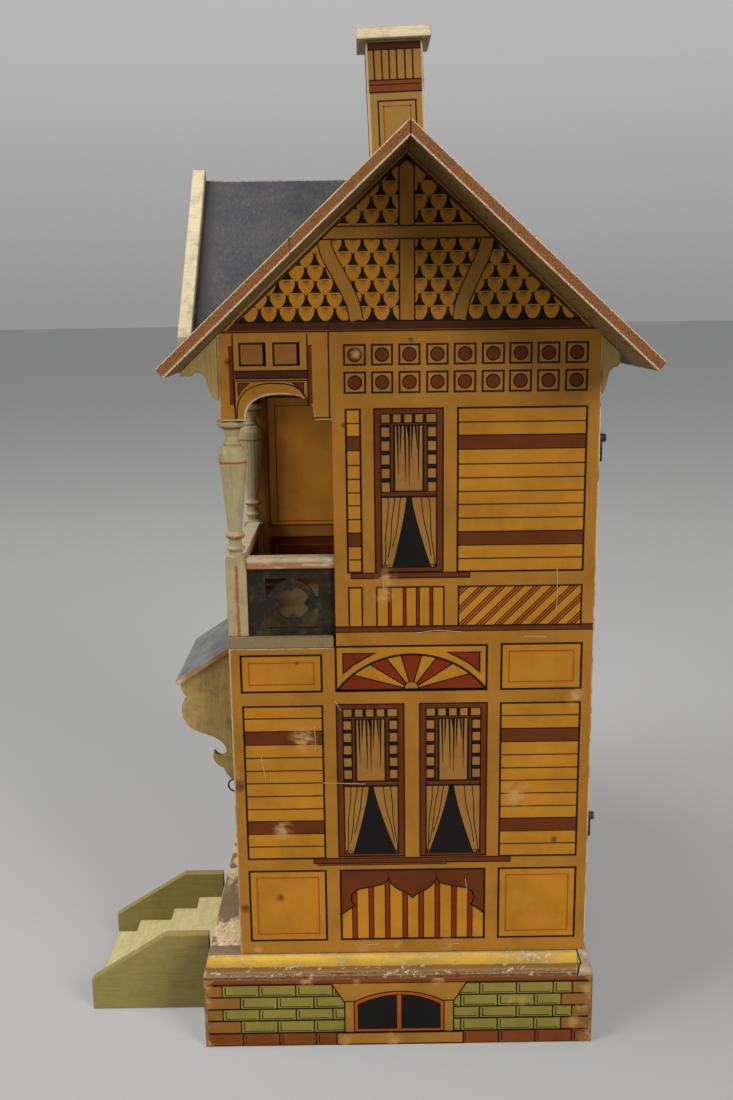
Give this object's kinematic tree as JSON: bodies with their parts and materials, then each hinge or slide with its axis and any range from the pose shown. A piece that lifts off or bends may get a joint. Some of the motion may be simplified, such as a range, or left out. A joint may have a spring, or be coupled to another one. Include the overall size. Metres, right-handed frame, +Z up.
{
  "type": "wooden dollhouse",
  "caption": "Two-storey wooden dollhouse with printed-paper walls, corner balcony, front cross gable, chimney, hinged front door, hinged back panel with turn hooks, and loose steps.",
  "frame": {"origin": "on the surface the house stands on, under the centre of its bounding box, steps and roof overhangs included", "axes": "+Z up; the front with the door and steps faces -Y; the balcony side is +X"},
  "size_m": [0.376, 0.3656, 0.6491],
  "materials": {
    "printed_wood": "printed paper on wood, varnished",
    "base_wood": "printed paper on wood, varnished",
    "painted_trim": "old paint, worn",
    "floor_wood": "bare",
    "roof_wood": "old paint, matte",
    "dark_panel": "old paint, matte",
    "green_wood": "paint, satin",
    "black_iron": "blackened",
    "old_brass": "tarnished"
  },
  "bodies": {
    "house": {"side_wall_near": "printed_wood", "side_wall_far": "printed_wood", "front_wall": "printed_wood", "bay_front_wall": "printed_wood", "balcony_back_wall": "printed_wood", "partition": "printed_wood", "balcony_arch_board": "printed_wood", "front_gable_wall": "printed_wood", "chimney_stack": "printed_wood", "back_header": "printed_wood", "base_board_near": "base_wood", "base_board_far": "base_wood", "base_board_front": "base_wood", "base_board_back": "base_wood", "moulding_near": "painted_trim", "moulding_far": "painted_trim", "moulding_back": "painted_trim", "balcony_floor": "painted_trim", "corner_post": "painted_trim", "inner_post": "painted_trim", "side_rail": "painted_trim", "front_rail": "painted_trim", "bargeboard_near": "painted_trim", "bargeboard_far": "painted_trim", "eave_bracket_front_near": "painted_trim", "eave_bracket_front_far": "painted_trim", "eave_bracket_back_near": "painted_trim", "eave_bracket_back_far": "painted_trim", "chimney_cap": "painted_trim", "ground_floor": "floor_wood", "first_floor": "floor_wood", "attic_floor": "floor_wood", "roof_front_near": "roof_wood", "roof_front_far": "roof_wood", "roof_back": "roof_wood", "gable_roof_near": "roof_wood", "gable_roof_far": "roof_wood", "door_hood": "roof_wood", "side_panel": "dark_panel", "front_panel": "dark_panel", "hood_bracket_near": "green_wood", "hood_bracket_far": "green_wood", "front_staple": "black_iron", "lower_hook_screw": "black_iron", "upper_hook_screw": "black_iron", "door_pin": "black_iron", "lower_hinge_wall_leaf": "old_brass", "lower_hinge_pin": "old_brass", "upper_hinge_wall_leaf": "old_brass", "upper_hinge_pin": "old_brass"},
    "front_door": {"front_door": "printed_wood", "door_knob": "old_brass"},
    "back_panel": {"back_panel": "printed_wood", "lower_hinge_panel_leaf": "old_brass", "upper_hinge_panel_leaf": "old_brass"},
    "lower_hook": {"lower_hook": "black_iron"},
    "upper_hook": {"upper_hook": "black_iron"},
    "steps": {"steps_side_near": "green_wood", "steps_side_far": "green_wood", "steps_flight": "green_wood"}
  },
  "joints": [
    {"name": "door_hinge", "type": "hinge", "parent": "house", "child": "front_door", "pos_m": [0.0785, -0.06815, 0.148], "axis": [0, 0, -1], "range_deg": [0, 88]},
    {"name": "back_panel_hinge", "type": "hinge", "parent": "house", "child": "back_panel", "pos_m": [-0.1276, 0.16015, 0.255], "axis": [0, 0, 1], "range_deg": [0, 90]},
    {"name": "lower_hook_pivot", "type": "hinge", "parent": "house", "child": "lower_hook", "pos_m": [0.1315, 0.15955, 0.16], "axis": [0, 1, 0], "range_deg": [0, 85]},
    {"name": "upper_hook_pivot", "type": "hinge", "parent": "house", "child": "upper_hook", "pos_m": [0.1315, 0.15955, 0.408], "axis": [0, 1, 0], "range_deg": [0, 85]},
    {"name": "steps_slide", "type": "slide", "parent": "house", "child": "steps", "axis": [0, -1, 0], "range_m": [0, 0.15]}
  ]
}
